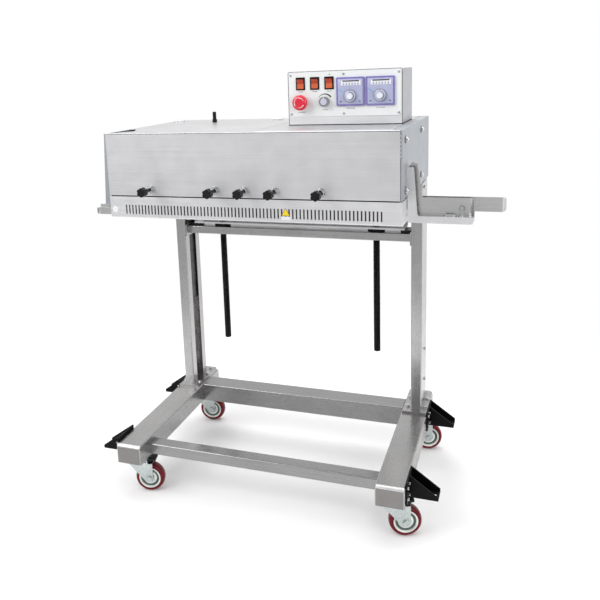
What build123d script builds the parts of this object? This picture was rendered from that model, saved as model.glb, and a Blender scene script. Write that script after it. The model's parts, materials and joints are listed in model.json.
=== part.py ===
from build123d import *
import math
import os

# Vertical continuous band sealer head on a height-adjustable, wheeled stand. Millimetres, +Z up.
# The bags hang below the head and travel from +X to -X between two flat bands.

# Driving dimensions: head
HEAD_W = 772.0            # width over the side covers
HEAD_D = 470.0            # depth over front and rear sheets
GUARD_Z = 806.0           # underside of the vented band guard
COVER_Z = 866.0           # underside of the covers
HEAD_TOP = 1028.6         # top of the covers
SHEET = 2.0               # cover sheet thickness
CHASSIS_Z = 858.0         # underside of the chassis plate
CHASSIS_T = 6.0
LID_X1 = 20.0             # right edge of the hinged lid
LID_Y1 = 169.0            # rear edge of the hinged lid
LID_KNOB = (-226.0, 124.0)
CORNER_STRIP = 4.0        # folded front edge of the right side cover
TOP_FLANGE = 24.0         # folded-over border on the fixed part of the top

# Bag path and bands
BAG_Y = -140.0            # plane in which the bags travel
BAG_SLOT = 20.0           # clear width between the front guard and the rear pan
PULLEY_R = 40.0
PULLEY_X = 325.0
BAND_Z0, BAND_Z1 = 816.0, 834.0
BAND_T = 1.0
BAND_NIP = 2.0            # gap between the two sealing strands
RUN_GAP = 0.3             # clearance between faces that pass each other
SHAFT_FIT = 0.05          # radial clearance of a shaft in its bearing hole

# Pressure knobs on the front cover
KNOB_X = (-260.0, -79.0, 0.0, 78.0, 195.0)
KNOB_Z = 883.5
KNOB_TIP = 58.0           # how far a knob stands out of the front sheet

# Control box
BOX_X0, BOX_X1 = 60.5, 356.8
BOX_Y0, BOX_Y1 = -47.0, 111.0
BOX_TOP = 1166.6
PLATE_T = 2.0
ROCKERS = ((95.0, 1135.5), (133.0, 1135.5), (171.0, 1135.5))
ESTOP = (97.0, 1088.0)
SPEED = (159.0, 1088.5)
METERS = ((226.5, 1112.5), (302.5, 1112.5))
METER_SIDE = 72.0
DIAL_DROP = 11.0          # dial centre below the middle of its controller

# Stand
BEAM_X0, BEAM_X1 = 326.4, 400.0
BEAM_Y = 284.0            # half length of the side beams
BEAM_Z0, BEAM_Z1 = 111.0, 166.6
BEAM_T = 2.5
REAR_Y0, REAR_Y1 = 152.2, 219.4
FRONT_Y0, FRONT_Y1 = -228.0, -187.5
FRONT_Z0, FRONT_Z1 = 117.5, 149.6
POST_X0, POST_X1 = 352.0, 383.0
POST_Y0, POST_Y1 = 136.6, 239.7
POST_TOP = 850.0
POST_T = 2.5
POST_LIP = 28.0
FOOT_T = 6.0
BAR_Y0, BAR_Y1 = 160.0, 222.0
BAR_Z0, BAR_Z1 = 676.5, 700.0
JACK_X, JACK_Y = 244.0, 190.0
JACK_R = 10.0
JACK_LOW = 327.0          # lower end of the threaded rods
CARRIAGE_Z = 709.0        # underside of the carriage flange that holds the rods
NUT_R = 25.0
RAIL_LOW = 450.0          # lower end of the rails that slide in the uprights

# Stabiliser brackets on the outer faces of the side beams
STAB_Y = (-209.5, 186.0)
STAB_TIP = 474.0
STAB_W = 47.0
STAB_Z = 117.0            # underside of the bracket's floor
ANCHOR_X = 462.0          # anchor holes near the bracket tips
ANCHOR_R = 6.5
STAB_TOP = 176.0

# Casters
CASTER_X = 363.2
CASTER_Y = (-222.0, 236.0)
CASTER_YAW = {"fl": 14.0, "fr": 20.0, "rl": 8.0, "rr": 16.0}   # how each caster stands at rest
TRAIL = 28.0
WHEEL_R = 42.0
WHEEL_W = 30.0
LEG_T = 3.0
PEDAL_X, PEDAL_Z = 19.0, 94.5     # brake pedal pin, from the swivel axis

# Infeed and outlet guides
GUIDE_Z0, GUIDE_Z1 = 827.0, 862.0
FRONT_GUIDE_END = 541.0
REAR_GUIDE_END = 609.0
OUTLET_END = -490.0
RAIL_Z = 820.0            # top of the low rail on the infeed arm
ARM_Y = -172.0            # front face of the infeed arm
ARM_TOP = 937.0

HALF_W, HALF_D = HEAD_W / 2, HEAD_D / 2
HINGE_Y, HINGE_Z = LID_Y1 + 0.5, HEAD_TOP + 2.8
KNOB_END_Y = -HALF_D - KNOB_TIP
# The row's origin is under the middle of the whole object's box
SHIFT = Pos(-(REAR_GUIDE_END + OUTLET_END) / 2, -(KNOB_END_Y + BEAM_Y) / 2, 0)
CORNERS = {"fl": (-1, 0), "fr": (1, 0), "rl": (-1, 1), "rr": (1, 1)}

os.makedirs("parts", exist_ok=True)


def save(name, *solids):
    """Write one node from its separate solids."""
    moved = [SHIFT * s for piece in solids for s in piece.solids()]
    shape = moved[0] if len(moved) == 1 else Compound(children=moved)
    shape.label = name
    export_step(shape, "parts/" + name + ".step")


def block(x0, x1, y0, y1, z0, z1):
    """A box between two corners."""
    middle = Pos((x0 + x1) / 2, (y0 + y1) / 2, (z0 + z1) / 2)
    return middle * Box(abs(x1 - x0), abs(y1 - y0), abs(z1 - z0))


def rod(radius, x, y, z, length, axis="z"):
    """A cylinder that starts at a point and runs along an axis."""
    turn = {"z": Rot(0, 0, 0), "y": Rot(-90, 0, 0), "x": Rot(0, 90, 0)}[axis]
    body = Cylinder(radius, length, align=(Align.CENTER, Align.CENTER, Align.MIN))
    return Pos(x, y, z) * turn * body


def mirrored(shape):
    """The same piece on the other side of the machine."""
    return shape.mirror(Plane.YZ)


def soften(shape, axis, radius):
    """Round the edges that run along an axis."""
    return fillet(shape.edges().filter_by(axis), radius)


def prism_y(points, y0, y1):
    """An outline of (x, z) points extruded along Y."""
    face = Plane.XZ * make_face(Polyline(*points, close=True))
    return Pos(0, y1, 0) * extrude(face, y1 - y0)


def prism_x(points, x0, x1):
    """An outline of (y, z) points extruded along X."""
    face = Plane.YZ * make_face(Polyline(*points, close=True))
    return Pos(x0, 0, 0) * extrude(face, x1 - x0)


# Stand frame

def side_beam():
    """Folded channel, open below, with its ends bent down."""
    outer = block(BEAM_X0, BEAM_X1, -BEAM_Y, BEAM_Y, BEAM_Z0, BEAM_Z1)
    outer = fillet(outer.edges().filter_by(Axis.X).group_by(Axis.Z)[-1], 9)
    outer = fillet(outer.edges().filter_by(Axis.Y).group_by(Axis.Z)[-1], 3.5)
    inner = block(BEAM_X0 + BEAM_T, BEAM_X1 - BEAM_T, -BEAM_Y + BEAM_T, BEAM_Y - BEAM_T,
                  BEAM_Z0 - 1, BEAM_Z1 - BEAM_T)
    inner = fillet(inner.edges().filter_by(Axis.X).group_by(Axis.Z)[-1], 6)
    return outer - inner


def cross_tube(y0, y1, z0, z1):
    """Rectangular tube between the side beams."""
    outer = soften(block(-BEAM_X0, BEAM_X0, y0, y1, z0, z1), Axis.X, 4)
    return outer - block(-BEAM_X0 - 1, BEAM_X0 + 1, y0 + BEAM_T, y1 - BEAM_T, z0 + BEAM_T, z1 - BEAM_T)


def upright():
    """Lipped channel with its open side towards the middle of the machine."""
    z0 = BEAM_Z1 + FOOT_T
    outer = soften(block(POST_X0, POST_X1, POST_Y0, POST_Y1, z0, POST_TOP), Axis.Z, 3)
    hollow = block(POST_X0 + POST_T, POST_X1 - POST_T, POST_Y0 + POST_T, POST_Y1 - POST_T,
                   z0 - 1, POST_TOP + 1)
    mouth = block(POST_X0 - 1, POST_X0 + POST_T + 1, POST_Y0 + POST_LIP, POST_Y1 - POST_LIP,
                  z0 - 1, POST_TOP + 1)
    return outer - hollow - mouth


def foot_plate():
    """Plate under an upright, rounded at the rear, with four bolt holes."""
    plate = block(BEAM_X0 + 3, BEAM_X1 - 1, 122, BEAM_Y - 1, BEAM_Z1, BEAM_Z1 + FOOT_T)
    plate = fillet(plate.edges().filter_by(Axis.Z).group_by(Axis.Y)[-1], 14)
    for x, y in foot_bolts():
        plate -= rod(4.5, x, y, BEAM_Z1 - 1, FOOT_T + 2)
    return plate


def foot_bolts():
    return [(BEAM_X0 + 14, POST_Y0 + 20), (BEAM_X0 + 14, POST_Y1 - 20),
            (BEAM_X1 - 9, POST_Y0 + 20), (BEAM_X1 - 9, POST_Y1 - 20),
            (BEAM_X0 + 22, BEAM_Y - 18), (BEAM_X1 - 22, BEAM_Y - 18)]


def hex_bolt(x, y, z, across, head):
    """Bolt head with a washer, standing on a face at height z."""
    washer = rod(across * 0.78, x, y, z, 1.2)
    hexagon = Pos(x, y, z + 1.2) * extrude(RegularPolygon(across / 2, 6, major_radius=False), head)
    return washer + hexagon


def side_screw(x, y, z, radius, head):
    """Low round screw head that stands out along X."""
    out = 1 if x > 0 else -1
    start = x if out > 0 else x - head
    return rod(radius, start, y, z, head, "x")


def frame_bolts():
    bolts = []
    for side in (-1, 1):
        for x, y in foot_bolts():
            bolts.append(hex_bolt(side * x, y, BEAM_Z1 + FOOT_T, 10, 4))
        for y, z in ((203, 343), (203, 247), (165, 836)):
            bolts.append(side_screw(side * POST_X1, y, z, 5, 4))
        for y in STAB_Y:
            for dy in (-33, -56):
                for z in (131, 160):
                    bolts.append(side_screw(side * (BEAM_X1 + 4), y + dy, z, 4, 4))
    return bolts


def crossbar():
    """Channel tube between the uprights, with end plates and clear holes for the two rods."""
    bar = soften(block(-POST_X0 + 4, POST_X0 - 4, BAR_Y0, BAR_Y1, BAR_Z0, BAR_Z1), Axis.X, 2.5)
    bar -= block(-POST_X0, POST_X0, BAR_Y0 + 2.5, BAR_Y1 - 2.5, BAR_Z0 + 2.5, BAR_Z1 - 2.5)
    for side in (-1, 1):
        bar += block(side * (POST_X0 - 4), side * POST_X0, POST_Y0 + 3, POST_Y1 - 3,
                     BAR_Z0 - 6, BAR_Z1 + 6)
        bar -= rod(JACK_R + 2, side * JACK_X, JACK_Y, BAR_Z0 - 1, BAR_Z1 - BAR_Z0 + 2)
    return bar


def rest_pads():
    """Rubber pads on the crossbar that the carriage rests on at its lowest."""
    return [block(side * 318, side * 347, 166, 214, BAR_Z1, CARRIAGE_Z - RUN_GAP) for side in (-1, 1)]


def stabiliser(y):
    """Open-topped bracket that tapers outwards from a flange on the side beam."""
    x0, t = BEAM_X1, 4.0
    flange = block(x0, x0 + t, y - STAB_W / 2 - 40, y + STAB_W / 2 + 2, STAB_Z, STAB_TOP)
    wall = [(x0 + t, STAB_Z), (x0 + t, STAB_TOP), (STAB_TIP, STAB_Z + 9), (STAB_TIP, STAB_Z)]
    body = prism_y(wall, y - STAB_W / 2, y + STAB_W / 2)
    body -= block(x0 + t, STAB_TIP + 1, y - STAB_W / 2 + t, y + STAB_W / 2 - t, STAB_Z + t, 200)
    return flange + body - rod(ANCHOR_R, ANCHOR_X, y, STAB_Z - 1, t + 2)


# Casters

def place_caster(corner, shape):
    """Stand a caster piece, drawn round the Z axis, at its corner and turn it to its rest position."""
    side, row = CORNERS[corner]
    return Pos(side * CASTER_X, CASTER_Y[row], 0) * Rot(0, 0, CASTER_YAW[corner]) * shape


def caster_plate(cx, cy):
    """Top plate, ball race and king pin."""
    plate = soften(block(cx - 35, cx + 35, cy - 46, cy + 46, BEAM_Z0 - 4, BEAM_Z0), Axis.Z, 8)
    race = rod(25, cx, cy, 100.5, BEAM_Z0 - 4 - 100.5)
    pin = rod(6, cx, cy, 90, 11) + rod(10, cx, cy, 87, 4)
    return plate + race + pin


def fork_leg(y0, y1):
    """One leg: wide under the race, slanting back to the axle, with an ear for the pedal pin."""
    end = TRAIL + 11
    outline = [(-27, 100), (PEDAL_X + 5, 100), (PEDAL_X + 7, 88.5), (end, 88.5), (end, WHEEL_R),
               (TRAIL, WHEEL_R - 12), (TRAIL - 10, WHEEL_R - 9), (-27, 86)]
    leg = prism_y(outline, y0, y1)
    return fillet(leg.edges().filter_by(Axis.Y).group_by(Axis.Z)[0], 8)


def caster_fork():
    """Pressed fork with its axle bolt as a second solid."""
    half = WHEEL_W / 2 + 2.5
    outer = half + LEG_T
    fork = block(-27, 12, -half, half, 96.5, 100) + block(TRAIL - 6, TRAIL + 11, -half, half, 85.5, 88.5)
    fork += fork_leg(-outer, -half) + fork_leg(half, outer)
    fork -= rod(6 + SHAFT_FIT, 0, 0, 90, 12)
    fork -= rod(5, TRAIL, -outer - 1, WHEEL_R, 2 * outer + 2, "y")
    fork -= rod(2.5 + SHAFT_FIT, PEDAL_X, -outer - 1, PEDAL_Z, 2 * outer + 2, "y")
    axle = rod(5, TRAIL, -outer, WHEEL_R, 2 * outer, "y")
    axle += rod(8.5, TRAIL, -outer - 4, WHEEL_R, 4, "y") + rod(8.5, TRAIL, outer, WHEEL_R, 4, "y")
    return fork, axle


def caster_hub():
    """Moulded rim with a recessed web on each face and a bore for the axle."""
    half = WHEEL_W / 2
    hub = rod(31, TRAIL, -half, WHEEL_R, WHEEL_W, "y")
    ring = rod(26, TRAIL, -4, WHEEL_R, 8, "y") - rod(13, TRAIL, -5, WHEEL_R, 10, "y")
    for side in (-1, 1):
        hub -= Pos(0, side * (half - 1), 0) * ring
    return hub - rod(5 + SHAFT_FIT, TRAIL, -half - 1, WHEEL_R, WHEEL_W + 2, "y")


def caster_tyre():
    """Polyurethane tread bonded round the rim."""
    half = WHEEL_W / 2
    tread = rod(WHEEL_R, TRAIL, -half, WHEEL_R, WHEEL_W, "y")
    tread = fillet(tread.edges().filter_by(GeomType.CIRCLE), 7)
    return tread - rod(31, TRAIL, -half - 1, WHEEL_R, WHEEL_W + 2, "y")


def brake_pedal():
    """Foot lever that turns on a pin between the fork's ears, above the tread."""
    x, z = PEDAL_X, PEDAL_Z
    outline = [(x - 5, z - 4), (x - 5, z + 4), (x + 4, z + 5.5), (x + 30, z + 8.5), (x + 30, z + 2.5),
               (x + 4, z - 4)]
    lever = prism_y(outline, -15, 15)
    outer = WHEEL_W / 2 + 2.5 + LEG_T
    return lever + rod(2.5, x, -outer, z, 2 * outer, "y")


# Head frame and lifting gear

def slide_rail():
    """Bar that hangs from the chassis and slides inside an upright."""
    bar = block(POST_X0 + 7, POST_X1 - 7, POST_Y0 + 14, POST_Y1 - 14, RAIL_LOW, CHASSIS_Z)
    return soften(bar, Axis.Z, 2)


def hand_nut(side):
    """Knurled disc nut that stands on the crossbar round a rod."""
    z0, z1 = BAR_Z1 + RUN_GAP, CARRIAGE_Z - 0.5
    nut = rod(NUT_R, side * JACK_X, JACK_Y, z0, z1 - z0)
    for step in range(12):
        turn = math.radians(30 * step)
        nut -= rod(2.5, side * JACK_X + (NUT_R + 1) * math.cos(turn),
                   JACK_Y + (NUT_R + 1) * math.sin(turn), z0 - 1, z1 - z0 + 2)
    return nut - rod(JACK_R + SHAFT_FIT, side * JACK_X, JACK_Y, z0 - 1, z1 - z0 + 2)


def jack_rod(side):
    return rod(JACK_R, side * JACK_X, JACK_Y, JACK_LOW, CARRIAGE_Z + 18 - JACK_LOW)


def head_chassis():
    """Chassis plate with the rear pan under the bands and the carriage that takes the rods."""
    inset = HALF_W - SHEET - 0.5
    frame = block(-inset, inset, -HALF_D + 4, HALF_D - 4, CHASSIS_Z, CHASSIS_Z + CHASSIS_T)
    pan_y0, pan_y1 = BAG_Y + BAG_SLOT / 2 + SHEET, 128
    frame += block(-inset, inset, pan_y0, pan_y1, GUARD_Z, GUARD_Z + SHEET)
    frame += block(-inset, inset, pan_y1 - SHEET, pan_y1, GUARD_Z, CHASSIS_Z)
    frame += block(-330, 330, JACK_Y - 26, HALF_D - 6, CARRIAGE_Z, CARRIAGE_Z + 5)
    frame += block(-330, 330, HALF_D - 11, HALF_D - 6, CARRIAGE_Z, CHASSIS_Z)
    for side in (-1, 1):
        frame -= rod(JACK_R, side * JACK_X, JACK_Y, CARRIAGE_Z - 1, 8)
        for y in (front_pulley_y(), rear_pulley_y()):
            frame -= rod(6 + SHAFT_FIT, side * PULLEY_X, y, CHASSIS_Z - 1, CHASSIS_T + 2)
    return frame


# Bands, pulleys and sealing blocks

def front_pulley_y():
    return BAG_Y - BAND_NIP / 2 - BAND_T - RUN_GAP - PULLEY_R


def rear_pulley_y():
    return BAG_Y + BAND_NIP / 2 + BAND_T + RUN_GAP + PULLEY_R


def band_pulley(x, y):
    """Rubber-faced drum on a vertical shaft through the chassis plate."""
    drum = rod(PULLEY_R, x, y, BAND_Z0 - 1, BAND_Z1 - BAND_Z0 + 2)
    for z in (BAND_Z0 - 2, BAND_Z1 - 3):
        drum -= rod(33, x, y, z, 5) - rod(14, x, y, z, 5)
    return drum + rod(6, x, y, BAND_Z1, CHASSIS_Z + CHASSIS_T + 6 - BAND_Z1)


def seal_band(y):
    """Flat endless band round a front or a rear pair of pulleys."""
    def loop(radius):
        straight = block(-PULLEY_X, PULLEY_X, y - radius, y + radius, BAND_Z0, BAND_Z1)
        for side in (-1, 1):
            straight += rod(radius, side * PULLEY_X, y, BAND_Z0, BAND_Z1 - BAND_Z0)
        return straight
    return loop(PULLEY_R + RUN_GAP + BAND_T) - loop(PULLEY_R + RUN_GAP)


def seal_blocks():
    """Heating pair and finned cooling pair, hung from the chassis behind each strand."""
    blocks = []
    for side in (-1, 1):
        near = BAG_Y + side * (BAND_NIP / 2 + BAND_T + 0.2)
        far = near + side * 16
        for x0, x1, fins in ((40, 200, False), (-190, -30, True)):
            body = block(x0, x1, min(near, far), max(near, far), BAND_Z0 + 1, BAND_Z1 + 4)
            for x in (x0 + 20, x1 - 20):
                body += rod(5, x, near + side * 8, BAND_Z1, CHASSIS_Z - BAND_Z1)
            if fins:
                for step in range(11):
                    x = x0 + 12 + step * 13
                    body -= block(x, x + 5, far - side * 9, far + side, BAND_Z0, BAND_Z1 + 5)
            blocks.append(body)
    return blocks


def gearmotor():
    """Worm gearbox with its motor lying along X, on the chassis plate."""
    z = CHASSIS_Z + CHASSIS_T
    box = soften(block(-250, -170, 20, 110, z, z + 78), Axis.Z, 8)
    motor = rod(36, -170, 65, z + 40, 150, "x") + rod(30, -20, 65, z + 40, 22, "x")
    return box + motor


# Covers

def belt_guard():
    """Vented front guard: front sheet, bottom flange, end walls and a lip beside the bag slot."""
    top = COVER_Z - 3
    rear = BAG_Y - BAG_SLOT / 2 - 2
    outer = block(-HALF_W, HALF_W, -HALF_D, rear, GUARD_Z, top)
    outer = fillet(outer.edges().filter_by(Axis.X).group_by(Axis.Z)[0].group_by(Axis.Y)[0], 5)
    hollow = block(-HALF_W + SHEET, HALF_W - SHEET, -HALF_D + SHEET, rear - SHEET,
                   GUARD_Z + SHEET, top + 1)
    guard = outer - hollow
    guard -= block(-HALF_W + SHEET, HALF_W - SHEET, rear - SHEET - 1, rear + 1, GUARD_Z + 6, top + 1)
    pitch = 2 * 338 / 72
    slots = [block(x - 1.9, x + 1.9, -HALF_D - 1, -HALF_D + SHEET + 1, 816.5, 841)
             for x in (-338 + pitch * n for n in range(73))]
    return guard - slots


def front_cover():
    """Front sheet with its top border folded back and mitred at the right corner."""
    right = HALF_W - CORNER_STRIP - 1
    front = block(-HALF_W, right, -HALF_D, -HALF_D + SHEET, COVER_Z, HEAD_TOP)
    z = HEAD_TOP - SHEET
    outline = Polyline((LID_X1 + 1, -HALF_D), (right, -HALF_D), (right, -HALF_D + SHEET),
                       (HALF_W - TOP_FLANGE, -HALF_D + TOP_FLANGE), (LID_X1 + 1, -HALF_D + TOP_FLANGE),
                       close=True)
    cover = front + extrude(Pos(0, 0, z) * make_face(outline), SHEET)
    cover = fillet(cover.edges().filter_by(Axis.X).group_by(Axis.Z)[-1].group_by(Axis.Y)[0], 1.8)
    for x in KNOB_X:
        cover -= rod(6.5, x, -HALF_D - 1, KNOB_Z, 4, "y")
    return cover


def side_cover(side):
    """Side sheet. The right one has a folded front edge and a mitred top border, the left one a deflector."""
    x = side * HALF_W
    inner = side * (HALF_W - SHEET)
    cover = block(x, inner, -HALF_D + SHEET, HALF_D - SHEET, CHASSIS_Z - 1, HEAD_TOP)
    cover -= block(x + side, inner - side, -HALF_D, -60, CHASSIS_Z - 2, COVER_Z)
    if side > 0:
        edge, strip = HALF_W - TOP_FLANGE, HALF_W - CORNER_STRIP
        cover += block(strip, HALF_W, -HALF_D, -HALF_D + SHEET, COVER_Z, HEAD_TOP)
        outline = Polyline((HALF_W, -HALF_D), (HALF_W, HALF_D - SHEET), (edge, HALF_D - SHEET),
                           (edge, -HALF_D + TOP_FLANGE + 1.5), (strip, -HALF_D + SHEET + 1), (strip, -HALF_D),
                           close=True)
        return cover + extrude(Pos(0, 0, HEAD_TOP - SHEET) * make_face(outline), SHEET)
    strip = [(-HALF_W + 1, COVER_Z + 2), (-HALF_W - 0.4, COVER_Z), (-HALF_W - 0.4, 841), (-402, 841),
             (-391, HEAD_TOP), (-HALF_W + 1, HEAD_TOP)]
    return cover + prism_y(strip, -HALF_D + SHEET, -HALF_D + 2 * SHEET)


def top_panel():
    """Fixed part of the top, rear strip and rear sheet folded from one piece."""
    z0, z1 = HEAD_TOP - SHEET, HEAD_TOP
    x1 = HALF_W - TOP_FLANGE - 1.5
    panel = block(LID_X1 + 1, x1, -HALF_D + TOP_FLANGE + 1.5, HALF_D, z0, z1)
    panel += block(-HALF_W + SHEET + 0.4, x1, LID_Y1 + 1, HALF_D, z0, z1)
    panel += block(-HALF_W, HALF_W, HALF_D - SHEET, HALF_D, CHASSIS_Z - 1, z1)
    for x, y, z in ((-300, 0, 0), (300, 0, 0)):
        for row in range(6):
            slot = block(x - 45, x + 45, HALF_D - SHEET - 1, HALF_D + 1, 910 + row * 12, 914 + row * 12)
            panel -= slot
    panel -= rod(9, -60, HALF_D - SHEET - 1, 900, SHEET + 2, "y")
    return panel


def lid():
    """Hinged lid, folded down at three edges, with a finger cut-out at its left edge and two knuckles."""
    z0, z1 = HEAD_TOP - SHEET, HEAD_TOP
    x0 = -HALF_W + SHEET + 0.4
    y0 = -HALF_D + SHEET + 0.4
    sheet = block(x0, LID_X1, y0, LID_Y1, z0, z1)
    sheet += block(x0, LID_X1, y0, y0 + SHEET, z0 - 12, z0)
    sheet += block(x0, x0 + SHEET, y0, LID_Y1 - 12, z0 - 12, z0)
    sheet += block(LID_X1 - SHEET, LID_X1, y0, LID_Y1 - 12, z0 - 12, z0)
    notch = Polyline((x0 - 1, -104), (x0 - 1, -224), (-340, -172), (-340, -158), (-366, -104), close=True)
    sheet -= extrude(Pos(0, 0, z0 - 13) * make_face(notch), 20)
    for x in (-381, -60):
        sheet += rod(2.5, x, HINGE_Y, HINGE_Z, 34, "x")
        sheet += block(x, x + 34, LID_Y1 - 14, LID_Y1, HEAD_TOP, HEAD_TOP + 1.2)
        sheet += block(x, x + 34, LID_Y1 - 2.2, LID_Y1, HEAD_TOP, HINGE_Z)
    return sheet


def lid_knob():
    """Plastic post on a collar, for lifting the lid."""
    post = rod(5.4, *LID_KNOB, HEAD_TOP, 31)
    post = fillet(post.edges().group_by(Axis.Z)[-1], 2)
    return post + rod(7, *LID_KNOB, HEAD_TOP, 9)


def cover_bolts():
    """Dome nuts on both side covers."""
    bolts = []
    for side in (-1, 1):
        for y in (-191, 76):
            for z in (884, 1004):
                dome = Pos(side * (HALF_W + 4), y, z) * Sphere(5.5)
                dome -= block(side * HALF_W, side * (HALF_W - 20), y - 9, y + 9, z - 9, z + 9)
                bolts.append(dome + side_screw(side * HALF_W, y, z, 7.5, 3.5))
    return bolts


# Pressure knobs

def knob_boss(x):
    """Threaded collar that holds a pressure screw in the front cover."""
    y0 = -HALF_D - 14
    boss = rod(8, x, y0, KNOB_Z, 14, "y") + rod(11, x, -HALF_D - 4, KNOB_Z, 4, "y")
    boss += rod(6.4, x, -HALF_D, KNOB_Z, SHEET, "y") + rod(9, x, -HALF_D + SHEET, KNOB_Z, 4, "y")
    return boss - rod(4 + SHAFT_FIT, x, y0 - 1, KNOB_Z, 30, "y")


def pressure_knob(x):
    """Lobed hand knob on a screw that reaches a pressure roller inside."""
    tip = KNOB_END_Y
    knob = rod(12, x, tip, KNOB_Z, 17, "y")
    for step in range(6):
        turn = math.radians(60 * step)
        knob -= rod(4, x + 14 * math.cos(turn), tip - 1, KNOB_Z + 14 * math.sin(turn), 19, "y")
    knob += rod(7, x, tip + 17, KNOB_Z, 9, "y")
    return knob + rod(4, x, tip + 26, KNOB_Z, 78, "y")


# Bag guides

def infeed_bracket():
    """Arm on the right side cover that runs out into a low rail, with a floor behind the rail."""
    x0, x1, t = HALF_W + 2.5, FRONT_GUIDE_END, 3.0
    outline = [(x0, 803.5), (x1 - 5, 803.5), (x1, 814), (x1, RAIL_Z), (414, RAIL_Z), (411, RAIL_Z + 5),
               (403, ARM_TOP - 2), (401, ARM_TOP), (x0, ARM_TOP)]
    arm = prism_y(outline, ARM_Y, ARM_Y + t)
    arm += block(HALF_W, x0 + 1, ARM_Y, ARM_Y + 26, 870, ARM_TOP)
    arm += block(x0, x1 - 3, ARM_Y, BAG_Y - BAG_SLOT / 2, RAIL_Z - t, RAIL_Z)
    # clamp nut and screw on the floor
    arm += soften(block(472, 497, ARM_Y + 5, ARM_Y + 15, RAIL_Z, RAIL_Z + 4.5), Axis.Z, 4.5)
    return arm + rod(4.5, 512, ARM_Y + 11, RAIL_Z, 23)


def flared_guide(x0, x1, y, side, z0, z1, radius=12.0, corners=(0, 1)):
    """Upright plate whose outer end curls away from the bag path on a quarter turn, with round corners."""
    out = 1 if x1 > x0 else -1
    plate = block(x0, x1 - out * radius, y, y + side * SHEET, z0, z1)
    ring = rod(radius, x1 - out * radius, y + side * radius, z0, z1 - z0)
    ring -= rod(radius - SHEET, x1 - out * radius, y + side * radius, z0 - 1, z1 - z0 + 2)
    quarter = block(x1 - out * radius, x1 + out, y - side, y + side * radius, z0 - 1, z1 + 1)
    outline = block(x0, x1, y - 30, y + 30, z0, z1)
    ends = outline.edges().filter_by(Axis.Y).group_by(Axis.X)[-1 if out > 0 else 0].sort_by(Axis.Z)
    outline = fillet([ends[n] for n in corners], 8)
    return (plate + (ring & quarter)) & outline


def bag_guides():
    """Infeed bracket, infeed plates on the right and outlet plates on the left."""
    front = BAG_Y - BAG_SLOT / 2
    rear = BAG_Y + BAG_SLOT / 2
    inner = HALF_W - 12
    infeed = flared_guide(405, FRONT_GUIDE_END, front, -1, RAIL_Z, GUIDE_Z1, 16, (1,))
    upstand = [(404, RAIL_Z), (422, RAIL_Z), (421, GUIDE_Z1), (409, 943), (397, 947), (389, 936), (389, 872),
               (404, 866)]
    infeed += prism_y(upstand, front - SHEET, front)
    infeed += rod(5.5, 400, front - SHEET - 4, 939, 5, "y")
    infeed -= rod(7.5, 512, front - 3, 836, 4, "y")
    back = flared_guide(inner, REAR_GUIDE_END, rear, 1, GUIDE_Z0, GUIDE_Z1)
    back -= block(inner - 1, HALF_W + 1, rear - 1, rear + 3, CHASSIS_Z - 2, 900)
    out_front = flared_guide(-inner, OUTLET_END + 14, front, -1, 796, 815.5, 12, (0,))
    out_back = flared_guide(-inner, OUTLET_END, rear, 1, 796, 821)
    return [infeed_bracket() + infeed, back, out_front, out_back]


# Control box

def panel_holes(y0, y1):
    """Cut-outs shared by the box front and the panel plate."""
    holes = [block(x - 9.5, x + 9.5, y0, y1, z - 13.5, z + 13.5) for x, z in ROCKERS]
    holes.append(rod(11, ESTOP[0], y0, ESTOP[1], y1 - y0, "y"))
    holes.append(rod(4, SPEED[0], y0, SPEED[1], y1 - y0, "y"))
    for x, z in METERS:
        half = METER_SIDE / 2 - 2
        holes.append(block(x - half, x + half, y0, y1, z - half, z + half))
    return holes


def control_box():
    """Folded box, open below, that stands on the top panel."""
    outer = block(BOX_X0, BOX_X1, BOX_Y0, BOX_Y1, HEAD_TOP, BOX_TOP)
    outer = fillet(outer.edges().filter_by(Axis.Y).group_by(Axis.Z)[-1], 2.5)
    inner = block(BOX_X0 + SHEET, BOX_X1 - SHEET, BOX_Y0 + SHEET, BOX_Y1 - SHEET,
                  HEAD_TOP - 1, BOX_TOP - SHEET)
    return outer - inner - panel_holes(BOX_Y0 - 1, BOX_Y0 + SHEET + 1)


def control_panel():
    """Printed front plate with rounded corners."""
    plate = block(BOX_X0 + 3, BOX_X1 - 3, BOX_Y0 - PLATE_T, BOX_Y0, 1051, BOX_TOP - 3)
    return soften(plate, Axis.Y, 7) - panel_holes(BOX_Y0 - PLATE_T - 1, BOX_Y0 + 1)


def temperature_controller(x, z):
    """Panel-mounted controller: square front frame, body behind and a hole for its dial shaft."""
    half = METER_SIDE / 2
    y = BOX_Y0 - PLATE_T
    front = soften(block(x - half, x + half, y - 5, y, z - half, z + half), Axis.Y, 2)
    body = block(x - half + 3, x + half - 3, y, y + 62, z - half + 3, z + half - 3)
    return front + body - rod(3 + SHAFT_FIT, x, y - 6, z - DIAL_DROP, 20, "y")


def dial(x, z):
    """Round setting dial with a raised hub."""
    y = BOX_Y0 - PLATE_T - 5
    disc = rod(16, x, y - 5, z - DIAL_DROP, 5 - RUN_GAP, "y") + rod(9, x, y - 11, z - DIAL_DROP, 7, "y")
    return disc + rod(3, x, y - 1, z - DIAL_DROP, 14, "y")


def rocker(x, z):
    """Rocker key, drawn tilted to its off side, inside a cut-out."""
    outline = [(-5.5, -12.3), (-2.6, 0), (-5.5, 12.3), (6, 9), (6, -9)]
    key = prism_x(outline, -8.6, 8.6)
    return Pos(x, BOX_Y0 - PLATE_T, z) * Rot(8, 0, 0) * key


def estop_button():
    """Mushroom head on a stem."""
    y = BOX_Y0 - PLATE_T
    head = rod(20, ESTOP[0], y - 26, ESTOP[1], 12, "y")
    head = fillet(head.edges().filter_by(GeomType.CIRCLE).group_by(Axis.Y)[0], 6)
    return head + rod(10, ESTOP[0], y - 14.5, ESTOP[1], 40, "y")


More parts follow.
